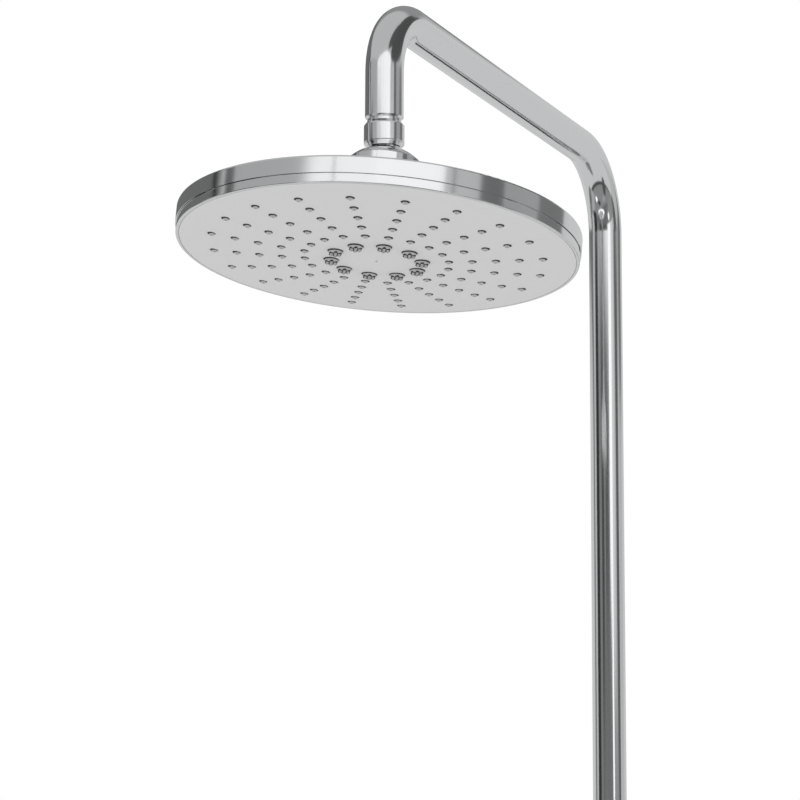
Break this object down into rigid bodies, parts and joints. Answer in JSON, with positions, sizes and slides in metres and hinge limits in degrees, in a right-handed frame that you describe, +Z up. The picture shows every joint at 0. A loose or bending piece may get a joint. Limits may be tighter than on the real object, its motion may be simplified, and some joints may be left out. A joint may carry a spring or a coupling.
{
  "type": "overhead shower system",
  "caption": "Wall-fixed overhead shower: a bent chrome riser tube on a bracket, with a wide round spray head on a ball joint, rubber nozzles in its domed face and a threaded inlet union.",
  "frame": {"origin": "middle of the wall bracket's back face, where it meets the wall", "axes": "+Z up along the riser, +Y into the wall, the arm reaching out along -Y, +X to the right seen from the room"},
  "size_m": [0.2502, 0.5891, 0.892],
  "materials": {
    "polished_chrome": "mirror-bright plating",
    "bare_brass": "turned, unplated",
    "satin_face": "satin light grey",
    "grey_silicone": "soft satin",
    "black_rubber": "matte",
    "pale_plastic": "moulded, unpainted",
    "plain_steel": "plain machined"
  },
  "bodies": {
    "riser_column": {"riser_tube": "polished_chrome", "neck_fitting": "polished_chrome", "flow_regulator": "pale_plastic", "filter_washer": "black_rubber", "swivel_nut": "polished_chrome", "ball_stem": "polished_chrome", "inlet_tail": "polished_chrome", "inlet_nut": "polished_chrome", "inlet_washer": "black_rubber", "wall_plate": "bare_brass", "wall_rosette": "polished_chrome", "bracket_post": "polished_chrome", "bracket_sleeve": "pale_plastic", "post_grub_screw": "plain_steel"},
    "ball_liner": {"ball_liner": "pale_plastic"},
    "ball_seat": {"ball_seat": "pale_plastic"},
    "shower_head": {"hub_cap": "polished_chrome", "hub_locknut": "polished_chrome", "hub_gasket": "black_rubber", "hub_body": "bare_brass", "seat_ring": "black_rubber", "head_shell": "polished_chrome", "rim_seal": "black_rubber", "distributor_plate": "pale_plastic", "nozzle_mat": "grey_silicone", "cluster_nozzles": "grey_silicone", "face_plate": "satin_face", "rim_bezel": "polished_chrome"}
  },
  "joints": [
    {"name": "tilt_front", "type": "hinge", "parent": "riser_column", "child": "ball_liner", "pos_m": [0, -0.46, 0.4338], "axis": [1, 0, 0], "range_deg": [-1.3, 13.7]},
    {"name": "tilt_side", "type": "hinge", "parent": "ball_liner", "child": "ball_seat", "pos_m": [0, -0.46, 0.4338], "axis": [0, 0.9942, -0.108], "range_deg": [-9.4, 5.6]},
    {"name": "head_spin", "type": "hinge", "parent": "ball_seat", "child": "shower_head", "pos_m": [0, -0.46, 0.4338], "axis": [0.0332, 0.1079, 0.9936], "continuous": true}
  ]
}
